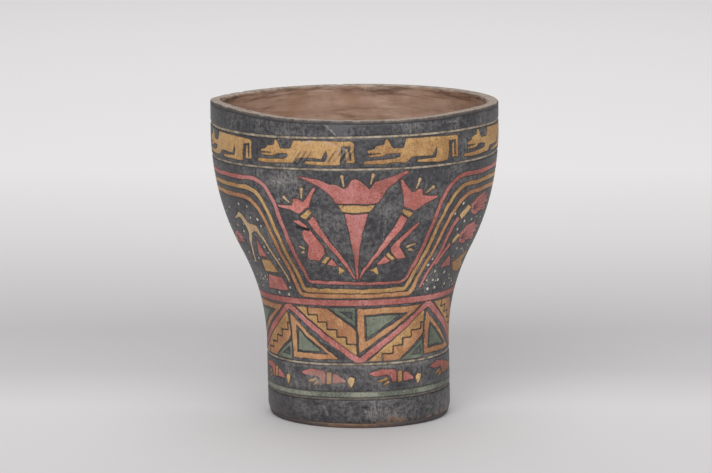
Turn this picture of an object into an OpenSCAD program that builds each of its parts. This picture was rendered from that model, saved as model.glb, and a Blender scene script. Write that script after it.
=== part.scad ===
// Kero: a flared drinking cup carved from one block of wood. A thin black
// lacquer ground covers the outside in bands, parted by incised rings.
// Coloured resin pieces sit flush in places cut out of that ground.
//
// The foot stands on z = 0, the cup's axis is Z and the front faces -Y.
// Azimuth runs in degrees from the front towards +X.

/* [Cup] */
// Height of the cup
cup_h = 185; // [165:1:215]
// Outer diameter of the mouth
mouth_d = 170; // [150:1:200]
// Outer diameter of the foot
foot_d = 108; // [90:1:125]
// Height at which the wall starts to flare
flare_z = 42; // [30:1:55]
// Height at which the flare turns from hollow to round
turn_z = 100; // [85:1:115]
// Height of the upright wall below the lip
upright_h = 15; // [8:1:25]
// Thickness of the wall, ground included
wall_t = 7; // [5:0.5:10]
// Thickness of the floor
floor_t = 16; // [10:1:25]
// Rounding between the floor and the wall, inside
floor_round = 14; // [5:1:20]
// Rounding of the lip, which stays bare wood
lip_round = 2; // [1:0.25:3]
// Rounding of the foot's lower edge
foot_round = 2; // [1:0.25:3]

/* [Bands] */
// Thickness of the lacquer ground and of every inlaid piece
coat_t = 0.8; // [0.5:0.1:1.5]
// Width of each incised ring of bare wood
groove_w = 1; // [0.5:0.1:2]
// Bare wood left under the ground at the foot
foot_bare_h = 3; // [2:0.5:5]
// Height of the plain band on the foot
foot_band_h = 14; // [10:0.5:18]
// Height of the green ring
green_ring_h = 4; // [2:0.5:6]
// Height of the band with the row of buds
bud_band_h = 15.5; // [12:0.5:20]
// Height of the band with the stepped frets
fret_band_h = 34.5; // [28:0.5:42]
// Height of the red ring
red_ring_h = 4; // [2:0.5:6]
// Height of the band with the felines
feline_band_h = 18; // [14:0.5:22]
// Height of the plain band under the lip
rim_band_h = 7; // [5:0.5:12]

/* [Figures] */
// Number of felines round the cup
feline_n = 8; // [6:1:10]
// Number of buds round the cup
bud_n = 8; // [6:1:10]
// Number of zigzag turns, up and down counted as one
zigzag_n = 4; // [3:1:6]
// Upright thickness of the zigzag
zigzag_t = 3; // [2:0.25:4]
// Width of the dark line between the two stairs
stair_gap = 1; // [0.6:0.1:1.6]
// Width of the red meander
red_w = 1.6; // [1:0.1:2.4]
// Width of the yellow meander
yellow_w = 2.4; // [1.6:0.1:2.8]
// Width of the orange meander
orange_w = 2.4; // [1.6:0.1:2.8]
// Ground below the low run of the orange meander
orange_foot_gap = 1; // [0.5:0.1:2]
// Ground between the low runs of the orange and yellow meanders
yellow_foot_gap = 0.7; // [0.5:0.1:2]
// Ground between the low runs of the yellow and red meanders
red_foot_gap = 2.7; // [1:0.1:4]
// Ground above the high run of the red meander
red_head_gap = 6.2; // [3:0.1:9]
// Ground between the high runs of the red and yellow meanders
yellow_head_gap = 4; // [2:0.1:6]
// Ground between the high runs of the yellow and orange meanders
orange_head_gap = 3.1; // [2:0.1:6]
// Width of a stamen at its root
stamen_root_w = 0.9; // [0.6:0.1:1.2]
// Width of a stamen at its tip
stamen_tip_w = 1.6; // [1:0.1:2.2]
// Width of a garden stem at its root
stem_root_w = 1; // [0.8:0.1:1.6]
// Width of a garden stem at its flower
stem_tip_w = 2; // [1.4:0.1:2.6]
// Diameter of the seed dots
dot_d = 1.6; // [1:0.1:2]

/* [Hidden] */
$fn = 96;

black = "#3c3c40";
yellow = "#c8964b";
orange = "#c37d46";
red = "#af5550";
green = "#64735f";
cream = "#d2b48c";
bare = "#8c7360";
filler = "#857a70";

mouth_r = mouth_d / 2;
foot_r = foot_d / 2;
shoulder_z = cup_h - upright_h;
// Steepest lean of the wall, where the hollow arc meets the round one
lean = 2 * atan((mouth_r - foot_r) / (shoulder_z - flare_z));
// Radii of the two arcs, rounded up, so that the arcs cross where one takes over
arc_step = 0.01;
hollow_r = ceil((turn_z - flare_z) / sin(lean) / arc_step + 0.5) * arc_step;
round_r = ceil((shoulder_z - turn_z) / sin(lean) / arc_step + 0.5) * arc_step;

// Heights of the bands, stacked from the foot up and from the lip down
foot_band_z = foot_bare_h;
green_z = foot_band_z + foot_band_h + groove_w;
bud_z = green_z + green_ring_h;
fret_z = bud_z + bud_band_h + groove_w;
red_z = fret_z + fret_band_h;
panel_z = red_z + red_ring_h;
rim_top = cup_h - lip_round;
rim_z = rim_top - rim_band_h;
feline_z = rim_z - groove_w - feline_band_h;
panel_top = feline_z - groove_w;

// Middle heights of the meanders' low and high runs
orange_low = panel_z + orange_foot_gap + orange_w / 2;
yellow_low = orange_low + orange_w / 2 + yellow_foot_gap + yellow_w / 2;
red_low = yellow_low + yellow_w / 2 + red_foot_gap + red_w / 2;
red_high = panel_top - red_head_gap - red_w / 2;
yellow_high = red_high - red_w / 2 - yellow_head_gap - yellow_w / 2;
orange_high = yellow_high - yellow_w / 2 - orange_head_gap - orange_w / 2;

// How far a cutter reaches past the wall on either side
past = 2;
// How far each quarter of a meander runs on into the next
overrun_deg = 8;

// Outer radius of the cup at height z
function wall_r(z) =
  z < flare_z ? foot_r :
  z < turn_z ? foot_r + hollow_r - sqrt(pow(hollow_r, 2) - pow(z - flare_z, 2)) :
  z < shoulder_z ? mouth_r - round_r + sqrt(pow(round_r, 2) - pow(shoulder_z - z, 2)) :
  mouth_r;

function deg_per_mm(z) = 180 / (PI * wall_r(z));

// Outlines are lists of [azimuth, height]. In the flower fields a height of
// field_low is the upper edge of the red meander and 100 the top of the panel.
field_low = 14;
function on_field(points) =
  let (z = red_low + red_w / 2, step = (panel_top - z) / (100 - field_low))
  [for (p = points) [p[0], z + step * (p[1] - field_low)]];

// In the gardens 0 is the foot of the panel and garden_high the orange meander
garden_high = 75;
function on_garden(points) =
  let (step = (orange_high - orange_w / 2 - panel_z) / garden_high)
  [for (p = points) [p[0], panel_z + step * p[1]]];

// Repeated figures are drawn in hundredths of their pitch and of their band
function on_band(points, n, z, h) = [for (p = points) [p[0] * 3.6 / n, z + h * p[1] / 100]];

// Point beside a path, d mm to the left of its direction
function beside(path, i, d) =
  let (a = path[max(i - 1, 0)],
       b = path[min(i + 1, len(path) - 1)],
       k = deg_per_mm(path[i][1]),
       run = [(b[0] - a[0]) / k, b[1] - a[1]],
       side = [-run[1], run[0]] / norm(run))
  [path[i][0] + d * k * side[0], path[i][1] + d * side[1]];

// Outline of a stroke along a path, its width changing evenly from w0 to w1
function stroke(path, w0, w1) =
  let (last = len(path) - 1)
  concat([for (i = [0:last]) beside(path, i, (w0 + (w1 - w0) * i / last) / 2)],
         [for (i = [last:-1:0]) beside(path, i, -(w0 + (w1 - w0) * i / last) / 2)]);

// Outline between a path and a level height
function down_to(path, d, z) =
  concat([for (i = [0:len(path) - 1]) beside(path, i, d)],
         [[path[len(path) - 1][0], z], [path[0][0], z]]);

// Curve from a to b, drawn towards the corner p
function bend(a, p, b, steps) =
  [for (i = [0:steps]) let (t = i / steps) pow(1 - t, 2) * a + 2 * t * (1 - t) * p + t * t * b];

// One quarter of a meander: a low run at the front, a steep rise, a high run at the side
low_bend = 0.09;
high_bend = 0.3;
low_bend_deg = 2;
high_bend_deg = 9;
function meander(low, high) =
  let (rise = high - low)
  concat([[-overrun_deg, low[1]]],
         bend(low - [low_bend_deg, 0], low, low + low_bend * rise, 3),
         bend(high - high_bend * rise, high, high + [high_bend_deg, 0], 6),
         [[90 + overrun_deg, high[1]]]);

// Corners of the meanders right and left of the front, which were set out by eye
red_paths = [meander([27.3, red_low], [41.3, red_high]), meander([27.2, red_low], [38.6, red_high])];
yellow_paths = [meander([28.5, yellow_low], [44.7, yellow_high]),
                meander([31, yellow_low], [42.6, yellow_high])];
orange_paths = [meander([31.8, orange_low], [48.4, orange_high]),
                meander([34, orange_low], [45.6, orange_high])];

// Figures of the flower fields: the great flower in the middle
great_corolla = [[-23.5, 95.5], [-15, 93], [-10.5, 89], [-7.5, 89], [-4.5, 86], [-2.8, 87.5],
  [-1.5, 92.5], [0, 94], [1.5, 93], [4, 89], [5.5, 86], [8, 91.5], [14, 94.5], [20.5, 98.5],
  [22, 97.5], [18, 93.5], [13, 86.5], [11, 80], [9.5, 76], [7.5, 75], [-8, 75], [-9, 78.5],
  [-13, 85], [-18, 90.5]];
great_collar = [[-7, 73.5], [8, 73.5], [5.7, 68.5], [-6, 68.5]];
great_tube = [[-4.8, 67], [5, 67], [2.5, 52], [1.2, 35], [0.4, 16], [-0.4, 16], [-1.2, 35], [-2.5, 52]];
great_stamens = [[[-4.5, 88], [-5.4, 96]], [[6, 90], [7.2, 98]]];

// Lilies and bells: the first outline stands right of the great flower, the second left
lily_corolla = [
  [[18.3, 92.5], [19.5, 92], [23.5, 83], [25, 83], [26.5, 85], [28, 85], [28.5, 80], [36, 78],
   [36, 77], [29.5, 73], [25.5, 68.5], [20.8, 72], [20, 82], [19, 87.5]],
  [[-34.5, 72], [-34, 71], [-28, 68.5], [-24.5, 66], [-19.6, 71.5], [-18.2, 79], [-16.5, 86],
   [-17.5, 86], [-21, 77], [-22.2, 75], [-24, 77.5], [-25.8, 77.5], [-27, 72]]];
lily_collar = [[[20.3, 70.5], [24.6, 67], [24, 65], [22.8, 64], [20, 67.5]],
               [[-19.9, 69], [-24.1, 64], [-23.4, 62.5], [-21.8, 61.5], [-18.6, 66.5]]];
lily_tube = [
  [[19.5, 65.5], [17, 57], [12, 44.5], [7, 31.5], [3, 23], [1, 17], [1.8, 17], [4.5, 23], [9.5, 33],
   [15, 44.5], [20, 54.5], [22.2, 62.5]],
  [[-18.3, 64], [-20.8, 60], [-18.8, 53.5], [-15.6, 47.5], [-11.9, 39], [-6.9, 28.5], [-1.8, 17],
   [-1, 17], [-5, 28.5], [-10, 40.5], [-13.1, 48.5], [-17.2, 61]]];
lily_stamens = [[[25.5, 85.5], [26.3, 92.5]], [[30, 81.5], [33.8, 86]],
                [[-28, 74.5], [-30.8, 78.5]], [[-22.5, 78], [-22.3, 85.5]]];
hooked_bell = [
  [[28.5, 59.5], [28, 57], [25, 52], [21, 44.5], [20.5, 41], [22.5, 36.5], [24.5, 32.5], [23, 31.5],
   [19.7, 31.5], [16.5, 38], [16.3, 40.5], [17.5, 43.5], [23, 52.5], [26, 57]],
  [[-28.2, 60.5], [-25.7, 61], [-22.3, 57], [-18.8, 48.5], [-16.4, 43.5], [-15.2, 40], [-15.4, 36],
   [-18.8, 30], [-23.2, 30.5], [-23.9, 32.5], [-22.2, 41.5], [-24.2, 46.5], [-24.4, 51], [-23, 55]]];
bell_collar = [[[15, 36.8], [15.8, 36], [18.9, 31.3], [17.7, 29.8], [14.4, 34.6]],
               [[-14.5, 33.2], [-17.5, 28.8], [-16, 27.4], [-13.2, 32]]];
bell_body = [[[13.8, 34], [16.8, 30], [15, 28.5], [11, 27], [10.2, 27.5], [12, 31]],
             [[-12.5, 31], [-15.2, 26.6], [-13.5, 26], [-10.9, 25], [-10.2, 25.8], [-11, 28.2]]];
bell_tail = [[[6.2, 22.5], [10, 25.5], [11.5, 20]], [[-9, 25], [-9.3, 19], [-5.8, 22.5]]];
bell_stamens = [[[28.3, 43], [23.8, 40.5]], [[27.7, 37.5], [25, 38.8]],
                [[-27.4, 40.5], [-24.4, 38.8]], [[-27, 35], [-25, 36.2]]];

// Figures of the gardens between the flower fields
heron = [[-68, 57], [-62, 61.5], [-60.5, 63.5], [-58.5, 62], [-56, 56.5], [-53, 55], [-49.5, 53.5],
  [-46.5, 43], [-42.6, 27], [-39, 11], [-40.2, 11], [-43.9, 27], [-47.8, 42.5], [-50.2, 48.5],
  [-52.5, 50], [-55, 47.5], [-59, 38], [-63.5, 24], [-64.5, 24], [-60.3, 38], [-57.5, 48],
  [-57.8, 53], [-60, 59], [-62, 59.5]];
hanging_tube = [[-53, 44], [-56.5, 30], [-50, 30]];
hanging_collar = [[-56, 27.5], [-49, 27.5], [-45.8, 18], [-57, 18]];
hanging_corolla = [[-55, 15.5], [-44.5, 14.5], [-42, 5], [-59, 5]];
thorn = [[49, 20], [54, 28.5], [58, 19.5]];
bird = [[59.5, 22.5], [66, 25], [76, 27], [71, 20.5], [78, 15], [70, 12.5], [63, 15]];
stems = [[[37.5, 7], [41, 19], [45, 34], [46.5, 45.5], [48, 52], [50.5, 58]],
         [[44.6, 24], [48, 34], [49.6, 37.5]],
         [[-84, 6], [-82, 19], [-79.5, 36]]];
// Garden collars and fans, drawn round their roots and set at a place and a scale
stem_collar = [[0.5, 2.5], [5, 9], [8, 6.5], [2.5, -1.5]];
collar_places = [[50.5, 58, 1], [50, 39, 0.7], [-80, 37, 0.6]];
stem_fan = [[0, 3.5], [4, 8], [13, 9.5], [11, 6.5], [19, 6], [15, 3.5], [21, 0], [15, 0], [18, -5.5],
  [11, -3.5], [6, -6.5], [1.5, -4]];
fan_places = [[58.3, 63.5, 1], [55.2, 42, 1], [-76.2, 41, 0.6]];
function at_place(points, place) =
  [for (p = points) [place[0] + place[2] * p[0], place[1] + place[2] * p[1]]];
dots = [[39.5, 24.5], [46, 17.5], [45.5, 10.5], [50, 10], [42.7, 4.5], [48.5, 4.5], [54, 15], [57, 6],
  [61.5, 9.5], [66, 6.5], [69, 3], [52, 49], [56, 54], [47.5, 62], [51.5, 69], [62, 54], [64, 31.5],
  [58, 33], [70, 32], [73, 53], [84, 20], [84, 44], [86, 63], [81, 8], [-59, 69.5], [-53, 68.5],
  [-52, 60], [-47.5, 59], [-66, 52], [-61.5, 48], [-67, 31], [-62.5, 11], [-50, 2.5], [-42.5, 2],
  [-49, 37.5], [-70, 65], [-74, 22], [-70, 13], [-79, 60], [-76, 4]];

// Figures that repeat, in hundredths of their pitch and of their band's height
feline_turn = 2;
feline = [[-43, 58], [-37, 63], [-36, 72], [-29, 77], [-28, 91], [-26, 95], [-24, 83], [-23, 70],
  [-21, 63], [-12, 63], [-10, 78], [-9, 93], [19, 92], [42, 88], [45, 81], [45, 20], [38, 20],
  [38, 64], [40, 64], [41, 25], [42.5, 25], [42.5, 75], [34, 72], [33, 13], [28, 11], [1, 15],
  [1, 22], [20, 24], [22, 44], [21, 61], [17, 33], [1, 35], [-4, 33], [-7, 21], [-9, 17], [-34, 14],
  [-47, 17], [-46, 25], [-20, 28], [-15, 34], [-14, 45], [-21, 48], [-27, 46], [-29, 39], [-41, 38],
  [-43, 43], [-32, 46], [-31, 50], [-43, 51]];
bud_turn = 1.5;
bud_bell = [[-40, 66], [-33, 74], [-22, 82], [-9, 81], [-2, 76], [0, 64], [-1, 30], [-7, 30], [-8, 48],
  [-11, 57], [-20, 59], [-31, 58]];
bud_collar = [[2, 71], [8.5, 71], [8, 29], [2, 29]];
bud_body = [[10.7, 64], [15.5, 64], [26.5, 45], [28.5, 40], [26.5, 35], [11, 32]];
bud_tail = [[31, 42], [35.5, 53.5], [41, 48], [40, 32], [35.5, 14]];
bud_stamen_paths = [[[-27, 35], [-14, 47]], [[-19, 22], [-12, 35]]];

// Frets: one cell runs from a peak of the zigzag on its left to a valley on its right.
// The first of each pair is for those cells, the second for the cells turned upside down.
frame_outer = [[[1, 82], [0.5, 7], [72, 7]], [[1, 82], [0.5, 5], [90, 4]]];
frame_inner = [[[9.5, 63.5], [7.5, 16], [59.5, 15]], [[9.7, 63.5], [8.3, 15], [72, 14]]];
heart = [[[13, 55], [10.5, 20.5], [48, 19.5]], [[13, 55.5], [12, 19.5], [57, 18]]];
corner_outer = [[61.7, 96.5], [96.8, 97], [96.8, 65]];
corner_inner = [[75.5, 90.5], [93.6, 90.5], [93.2, 75]];
stair_top = 96.5;
stair_end = 96.5;
stair_start = [[31.5, 84.5], [34.5, 84.5]];
stair_step = [[13.2, 12.8], [14.5, 12.2]];
stair_count = 5;
cell_deg = 180 / zigzag_n;
gap_u = stair_gap / 2 * deg_per_mm(fret_z) / cell_deg * 100;
gap_v = stair_gap / 2 / fret_band_h * 100;
// Corners of a cell's stair line, moved aside by du and dv
function stair_line(cell, du, dv) =
  [for (i = [0:stair_count - 1])
    let (u = stair_start[cell][0] + du + stair_step[cell][0] * i,
         v = stair_start[cell][1] + dv - stair_step[cell][1] * i)
    each [[u, i == 0 ? stair_top : v + stair_step[cell][1]], [u, v]]];
function last_stair(cell) = stair_start[cell][1] - stair_step[cell][1] * (stair_count - 1);
yellow_stair = [for (cell = [0, 1])
  concat([[13.5, stair_top]], stair_line(cell, -gap_u, -gap_v),
         [[stair_end, last_stair(cell) - gap_v], [stair_end, 14.5]])];
orange_stair = [for (cell = [0, 1])
  concat(stair_line(cell, gap_u, gap_v),
         [[stair_end, last_stair(cell) + gap_v], [stair_end, 55], [92.6, 62], [58.5, 95.5]])];
zigzag_rise = [98.5, 4.5];
zigzag_half = zigzag_t / fret_band_h * 50;
zigzag_bar = [[0, zigzag_rise[0] - zigzag_half], [0, zigzag_rise[0] + zigzag_half],
  [100, zigzag_rise[1] + zigzag_half], [100, zigzag_rise[1] - zigzag_half]];

// The mended place in the rim, in degrees and hundredths of its band
mend = [[-10.5, 100], [0.5, 100], [-4, 45], [-6, 0]];

// Half of the cup's section, its outside moved in by inset. Its parts overlap,
// because parts that only touch could leave a thin skin across the hollow.
module section(inset, top) {
  split_z = turn_z + inset * sin(lean);
  square([foot_r - inset, flare_z + past]);
  difference() {
    translate([0, flare_z])
      square([mouth_r, split_z - flare_z]);
    translate([foot_r + hollow_r, flare_z])
      circle(hollow_r + inset, $fn = 360);
  }
  intersection() {
    translate([0, split_z - past])
      square([mouth_r, shoulder_z - split_z + 2 * past]);
    translate([mouth_r - round_r, shoulder_z])
      circle(round_r - inset, $fn = 360);
  }
  translate([0, shoulder_z])
    square([mouth_r - inset, top - shoulder_z]);
}

// Corner between two edges at the origin, left over outside a round of radius r
module corner(r) {
  difference() {
    translate([-r, -r])
      square(r + past);
    translate([-r, -r])
      circle(r);
  }
}

// Ring of the cup's outermost layer between two heights
module skin(z0, z1) {
  rotate_extrude()
    intersection() {
      difference() {
        section(0, cup_h);
        section(coat_t, cup_h);
      }
      translate([0, z0])
        square([mouth_r + past, z1 - z0]);
    }
}

// Place for one piece: its outline pushed straight in through the wall
module seat(points) {
  az = [for (p = points) p[0]];
  facing = (min(az) + max(az)) / 2;
  near = min([for (p = points) (wall_r(p[1]) - coat_t) * cos(p[0] - facing)]) - past;
  far = max([for (p = points) wall_r(p[1])]) + past;
  rotate([0, 0, facing])
    translate([0, -near, 0])
      rotate([90, 0, 0])
        linear_extrude(far - near)
          polygon([for (p = points) [wall_r(p[1]) * sin(p[0] - facing), p[1]]]);
}

// Place for a round piece at one point of the wall
module round_seat(p, d) {
  rotate([0, 0, p[0]])
    translate([0, -wall_r(p[1]) + past * 2, p[1]])
      rotate([90, 0, 0])
        cylinder(d = d, h = past * 4);
}

// The same place on the front and the back of the cup
module twice() {
  for (turn = [0, 180])
    rotate([0, 0, turn])
      children();
}

// A right-hand and a left-hand quarter's outline, set to run all round the cup.
// Both end in level runs, so the places overlap a little without a step.
module four_quarters(outlines) {
  twice()
    for (side = [0, 1])
      mirror([side, 0, 0])
        seat(outlines[side]);
}

// The strip of one meander, and all that lies on one side of it
module meander_seats(paths, w) {
  four_quarters([for (path = paths) stroke(path, w, w)]);
}
module beyond_meander(paths, d, z) {
  four_quarters([for (path = paths) down_to(path, d, z)]);
}

// One or more outlines of the flower field, on the front and the back
module flower_seats(outlines) {
  twice()
    for (points = outlines)
      seat(on_field(points));
}

module garden_seats(points) {
  twice()
    seat(on_garden(points));
}

module repeat_seats(points, n, turn, z, h) {
  for (i = [0:n - 1])
    rotate([0, 0, 360 / n * (i + 0.5) + turn])
      seat(on_band(points, n, z, h));
}

// A fret figure in every cell. Cells that rise to the right are turned upside down.
module fret_seats(outlines) {
  for (i = [0:2 * zigzag_n - 1])
    rotate([0, 0, cell_deg * i])
      let (rising = i % 2 == 0, points = outlines[rising ? 1 : 0])
        seat([for (p = points)
          [cell_deg * p[0] / 100, fret_z + fret_band_h * (rising ? 100 - p[1] : p[1]) / 100]]);
}

// Pieces: the part of the outermost layer that fills their places
module inlay(tint, z0, z1) {
  color(tint)
    intersection() {
      skin(z0, z1);
      union()
        children();
    }
}

// Grounds: the outermost layer with the places cut out
module ground(z0, z1) {
  color(black)
    difference() {
      skin(z0, z1);
      children();
    }
}

module panel_inlay(tint) {
  inlay(tint, panel_z, panel_top)
    children();
}

// Places of the flower fields
module great_corolla_seats() { flower_seats([great_corolla]); }
module great_collar_seats() { flower_seats([great_collar]); }
module great_tube_seats() { flower_seats([great_tube]); }
module lily_corolla_seats() { flower_seats(lily_corolla); }
module lily_collar_seats() { flower_seats(lily_collar); }
module lily_tube_seats() { flower_seats(lily_tube); }
module hooked_bell_seats() { flower_seats(hooked_bell); }
module bell_collar_seats() { flower_seats(bell_collar); }
module bell_body_seats() { flower_seats(bell_body); }
module bell_tail_seats() { flower_seats(bell_tail); }
module stamen_seats() {
  twice()
    for (path = concat(great_stamens, lily_stamens, bell_stamens))
      seat(stroke(on_field(path), stamen_root_w, stamen_tip_w));
}

// Places of the gardens
module stem_seats() {
  twice()
    for (path = stems)
      seat(stroke(on_garden(path), stem_root_w, stem_tip_w));
}
module stem_collar_seats() {
  for (place = collar_places)
    garden_seats(at_place(stem_collar, place));
}
module stem_fan_seats() {
  for (place = fan_places)
    garden_seats(at_place(stem_fan, place));
}
module dot_seats() {
  twice()
    for (p = on_garden(dots))
      round_seat(p, dot_d);
}

// Places of the frets
module zigzag_seats() { fret_seats([zigzag_bar, zigzag_bar]); }
module frame_seats() {
  difference() {
    fret_seats(frame_outer);
    fret_seats(frame_inner);
  }
}
module corner_seats() {
  difference() {
    fret_seats([corner_outer, corner_outer]);
    fret_seats([corner_inner, corner_inner]);
  }
}

// Places of the figures in rows
module bud_seats(points) { repeat_seats(points, bud_n, bud_turn, bud_z, bud_band_h); }
module bud_stamen_seats() {
  for (i = [0:bud_n - 1])
    rotate([0, 0, 360 / bud_n * (i + 0.5) + bud_turn])
      for (path = bud_stamen_paths)
        seat(stroke(on_band(path, bud_n, bud_z, bud_band_h), stamen_root_w, stamen_tip_w));
}
module feline_seats() { repeat_seats(feline, feline_n, feline_turn, feline_z, feline_band_h); }
module mend_seat() { seat([for (p = mend) [p[0], rim_z + rim_band_h * p[1] / 100]]); }

// The carved cup, hollow, with its full width only where the wood is bare
module wooden_body() {
  color(bare)
    rotate_extrude()
      difference() {
        union() {
          section(coat_t, cup_h);
          square([foot_r, foot_bare_h]);
          translate([0, rim_top])
            square([mouth_r, lip_round]);
        }
        difference() {
          intersection() {
            section(wall_t, cup_h + past);
            translate([0, floor_t])
              square([mouth_r, cup_h]);
          }
          translate([foot_r - wall_t, floor_t])
            mirror([0, 1])
              corner(floor_round);
        }
        translate([mouth_r, cup_h])
          corner(lip_round);
        translate([mouth_r - wall_t, cup_h])
          mirror([1, 0])
            corner(lip_round);
        translate([foot_r, 0])
          mirror([0, 1])
            corner(foot_round);
      }
}

module rim_ground() {
  ground(rim_z, rim_top)
    mend_seat();
}
module rim_mend() {
  inlay(filler, rim_z, rim_top)
    mend_seat();
}
module feline_ground() {
  ground(feline_z, feline_z + feline_band_h)
    feline_seats();
}
module flower_ground() {
  ground(panel_z, panel_top) {
    beyond_meander(red_paths, red_w / 2, panel_z - past);
    great_corolla_seats();
    great_collar_seats();
    great_tube_seats();
    lily_corolla_seats();
    lily_collar_seats();
    lily_tube_seats();
    hooked_bell_seats();
    bell_collar_seats();
    bell_body_seats();
    bell_tail_seats();
    stamen_seats();
  }
}
module stripe_ground() {
  ground(panel_z, panel_top) {
    beyond_meander(red_paths, -red_w / 2, panel_top + past);
    meander_seats(yellow_paths, yellow_w);
    beyond_meander(orange_paths, orange_w / 2, panel_z - past);
  }
}
module garden_ground() {
  ground(panel_z, panel_top) {
    beyond_meander(orange_paths, -orange_w / 2, panel_top + past);
    garden_seats(heron);
    stem_seats();
    stem_collar_seats();
    stem_fan_seats();
    garden_seats(thorn);
    garden_seats(bird);
    garden_seats(hanging_tube);
    garden_seats(hanging_collar);
    garden_seats(hanging_corolla);
    dot_seats();
  }
}
module fret_ground() {
  ground(fret_z, red_z) {
    zigzag_seats();
    frame_seats();
    fret_seats(heart);
    fret_seats(yellow_stair);
    fret_seats(orange_stair);
    corner_seats();
  }
}
module bud_ground() {
  ground(bud_z, bud_z + bud_band_h) {
    bud_seats(bud_bell);
    bud_seats(bud_collar);
    bud_seats(bud_body);
    bud_seats(bud_tail);
    bud_stamen_seats();
  }
}
module foot_ground() { color(black) skin(foot_band_z, foot_band_z + foot_band_h); }

module felines() { inlay(yellow, feline_z, feline_z + feline_band_h) feline_seats(); }
module red_meander() { panel_inlay(red) meander_seats(red_paths, red_w); }
module yellow_meander() { panel_inlay(yellow) meander_seats(yellow_paths, yellow_w); }
module orange_meander() { panel_inlay(orange) meander_seats(orange_paths, orange_w); }
module great_corollas() { panel_inlay(red) great_corolla_seats(); }
module great_collars() { panel_inlay(yellow) great_collar_seats(); }
module great_tubes() { panel_inlay(red) great_tube_seats(); }
module lily_corollas() { panel_inlay(red) lily_corolla_seats(); }
module lily_collars() { panel_inlay(yellow) lily_collar_seats(); }
module lily_tubes() { panel_inlay(red) lily_tube_seats(); }
module hooked_bells() { panel_inlay(red) hooked_bell_seats(); }
module bell_collars() { panel_inlay(yellow) bell_collar_seats(); }
module bell_bodies() { panel_inlay(red) bell_body_seats(); }
module bell_tails() { panel_inlay(yellow) bell_tail_seats(); }
module stamens() { panel_inlay(cream) stamen_seats(); }
module herons() { panel_inlay(cream) garden_seats(heron); }
module garden_stems() { panel_inlay(red) stem_seats(); }
module garden_collars() { panel_inlay(yellow) stem_collar_seats(); }
module garden_petals() { panel_inlay(red) stem_fan_seats(); }
module garden_thorns() { panel_inlay(red) garden_seats(thorn); }
module garden_birds() { panel_inlay(yellow) garden_seats(bird); }
module hanging_tubes() { panel_inlay(red) garden_seats(hanging_tube); }
module hanging_collars() { panel_inlay(yellow) garden_seats(hanging_collar); }
module hanging_corollas() { panel_inlay(red) garden_seats(hanging_corolla); }
module seed_dots() { panel_inlay(cream) dot_seats(); }
module red_ring() { color(red) skin(red_z, panel_z); }
module zigzag() { inlay(red, fret_z, red_z) zigzag_seats(); }
module triangle_frames() { inlay(orange, fret_z, red_z) frame_seats(); }
module triangle_hearts() { inlay(green, fret_z, red_z) fret_seats(heart); }
module yellow_stairs() { inlay(yellow, fret_z, red_z) fret_seats(yellow_stair); }
module orange_stairs() { inlay(orange, fret_z, red_z) fret_seats(orange_stair); }
module corner_frames() { inlay(green, fret_z, red_z) corner_seats(); }
module bud_bells() { inlay(red, bud_z, bud_z + bud_band_h) bud_seats(bud_bell); }
module bud_stamens() { inlay(yellow, bud_z, bud_z + bud_band_h) bud_stamen_seats(); }
module bud_collars() { inlay(yellow, bud_z, bud_z + bud_band_h) bud_seats(bud_collar); }
module bud_bodies() { inlay(red, bud_z, bud_z + bud_band_h) bud_seats(bud_body); }
module bud_tails() { inlay(yellow, bud_z, bud_z + bud_band_h) bud_seats(bud_tail); }
module green_ring() { color(green) skin(green_z, bud_z); }

wooden_body();
rim_ground();
rim_mend();
feline_ground();
flower_ground();
stripe_ground();
garden_ground();
fret_ground();
bud_ground();
foot_ground();
felines();
red_meander();
yellow_meander();
orange_meander();
great_corollas();
great_collars();
great_tubes();
lily_corollas();
lily_collars();
lily_tubes();
hooked_bells();
bell_collars();
bell_bodies();
bell_tails();
stamens();
herons();
garden_stems();
garden_collars();
garden_petals();
garden_thorns();
garden_birds();
hanging_tubes();
hanging_collars();
hanging_corollas();
seed_dots();
red_ring();
zigzag();
triangle_frames();
triangle_hearts();
yellow_stairs();
orange_stairs();
corner_frames();
bud_bells();
bud_stamens();
bud_collars();
bud_bodies();
bud_tails();
green_ring();
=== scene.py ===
"""Kero: a flared wooden drinking cup with coloured resin figures set in a black lacquer ground.

Lengths are millimetres until a mesh is made. Azimuth runs from the front (-Y) towards +X, in radians
unless a comment says degrees.
"""
import logging
import math
from collections.abc import Iterable
from dataclasses import dataclass
from enum import Enum, IntEnum

import bpy
import numpy as np
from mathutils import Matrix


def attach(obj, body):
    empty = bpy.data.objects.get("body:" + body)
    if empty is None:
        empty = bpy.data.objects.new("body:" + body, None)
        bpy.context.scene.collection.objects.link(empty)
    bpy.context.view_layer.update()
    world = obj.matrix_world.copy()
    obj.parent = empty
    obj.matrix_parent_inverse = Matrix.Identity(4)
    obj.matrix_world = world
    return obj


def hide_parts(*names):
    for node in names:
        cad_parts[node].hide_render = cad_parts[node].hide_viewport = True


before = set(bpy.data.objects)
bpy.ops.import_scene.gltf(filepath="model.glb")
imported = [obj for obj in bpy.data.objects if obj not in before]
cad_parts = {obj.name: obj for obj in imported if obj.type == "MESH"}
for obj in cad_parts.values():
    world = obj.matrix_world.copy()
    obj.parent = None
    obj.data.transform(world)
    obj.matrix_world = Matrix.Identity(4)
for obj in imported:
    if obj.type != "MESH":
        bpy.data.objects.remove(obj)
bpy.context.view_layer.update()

LOG = logging.getLogger("kero")
MM = 0.001
TURN = 2 * math.pi
Array = np.ndarray
Object = bpy.types.Object
Tree = bpy.types.NodeTree
Socket = bpy.types.NodeSocket
Feeds = dict[str | int, Socket | float | tuple]
Pair = tuple[float, float]
Triple = tuple[float, float, float]
Rows = tuple[tuple[float, ...], ...]


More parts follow.
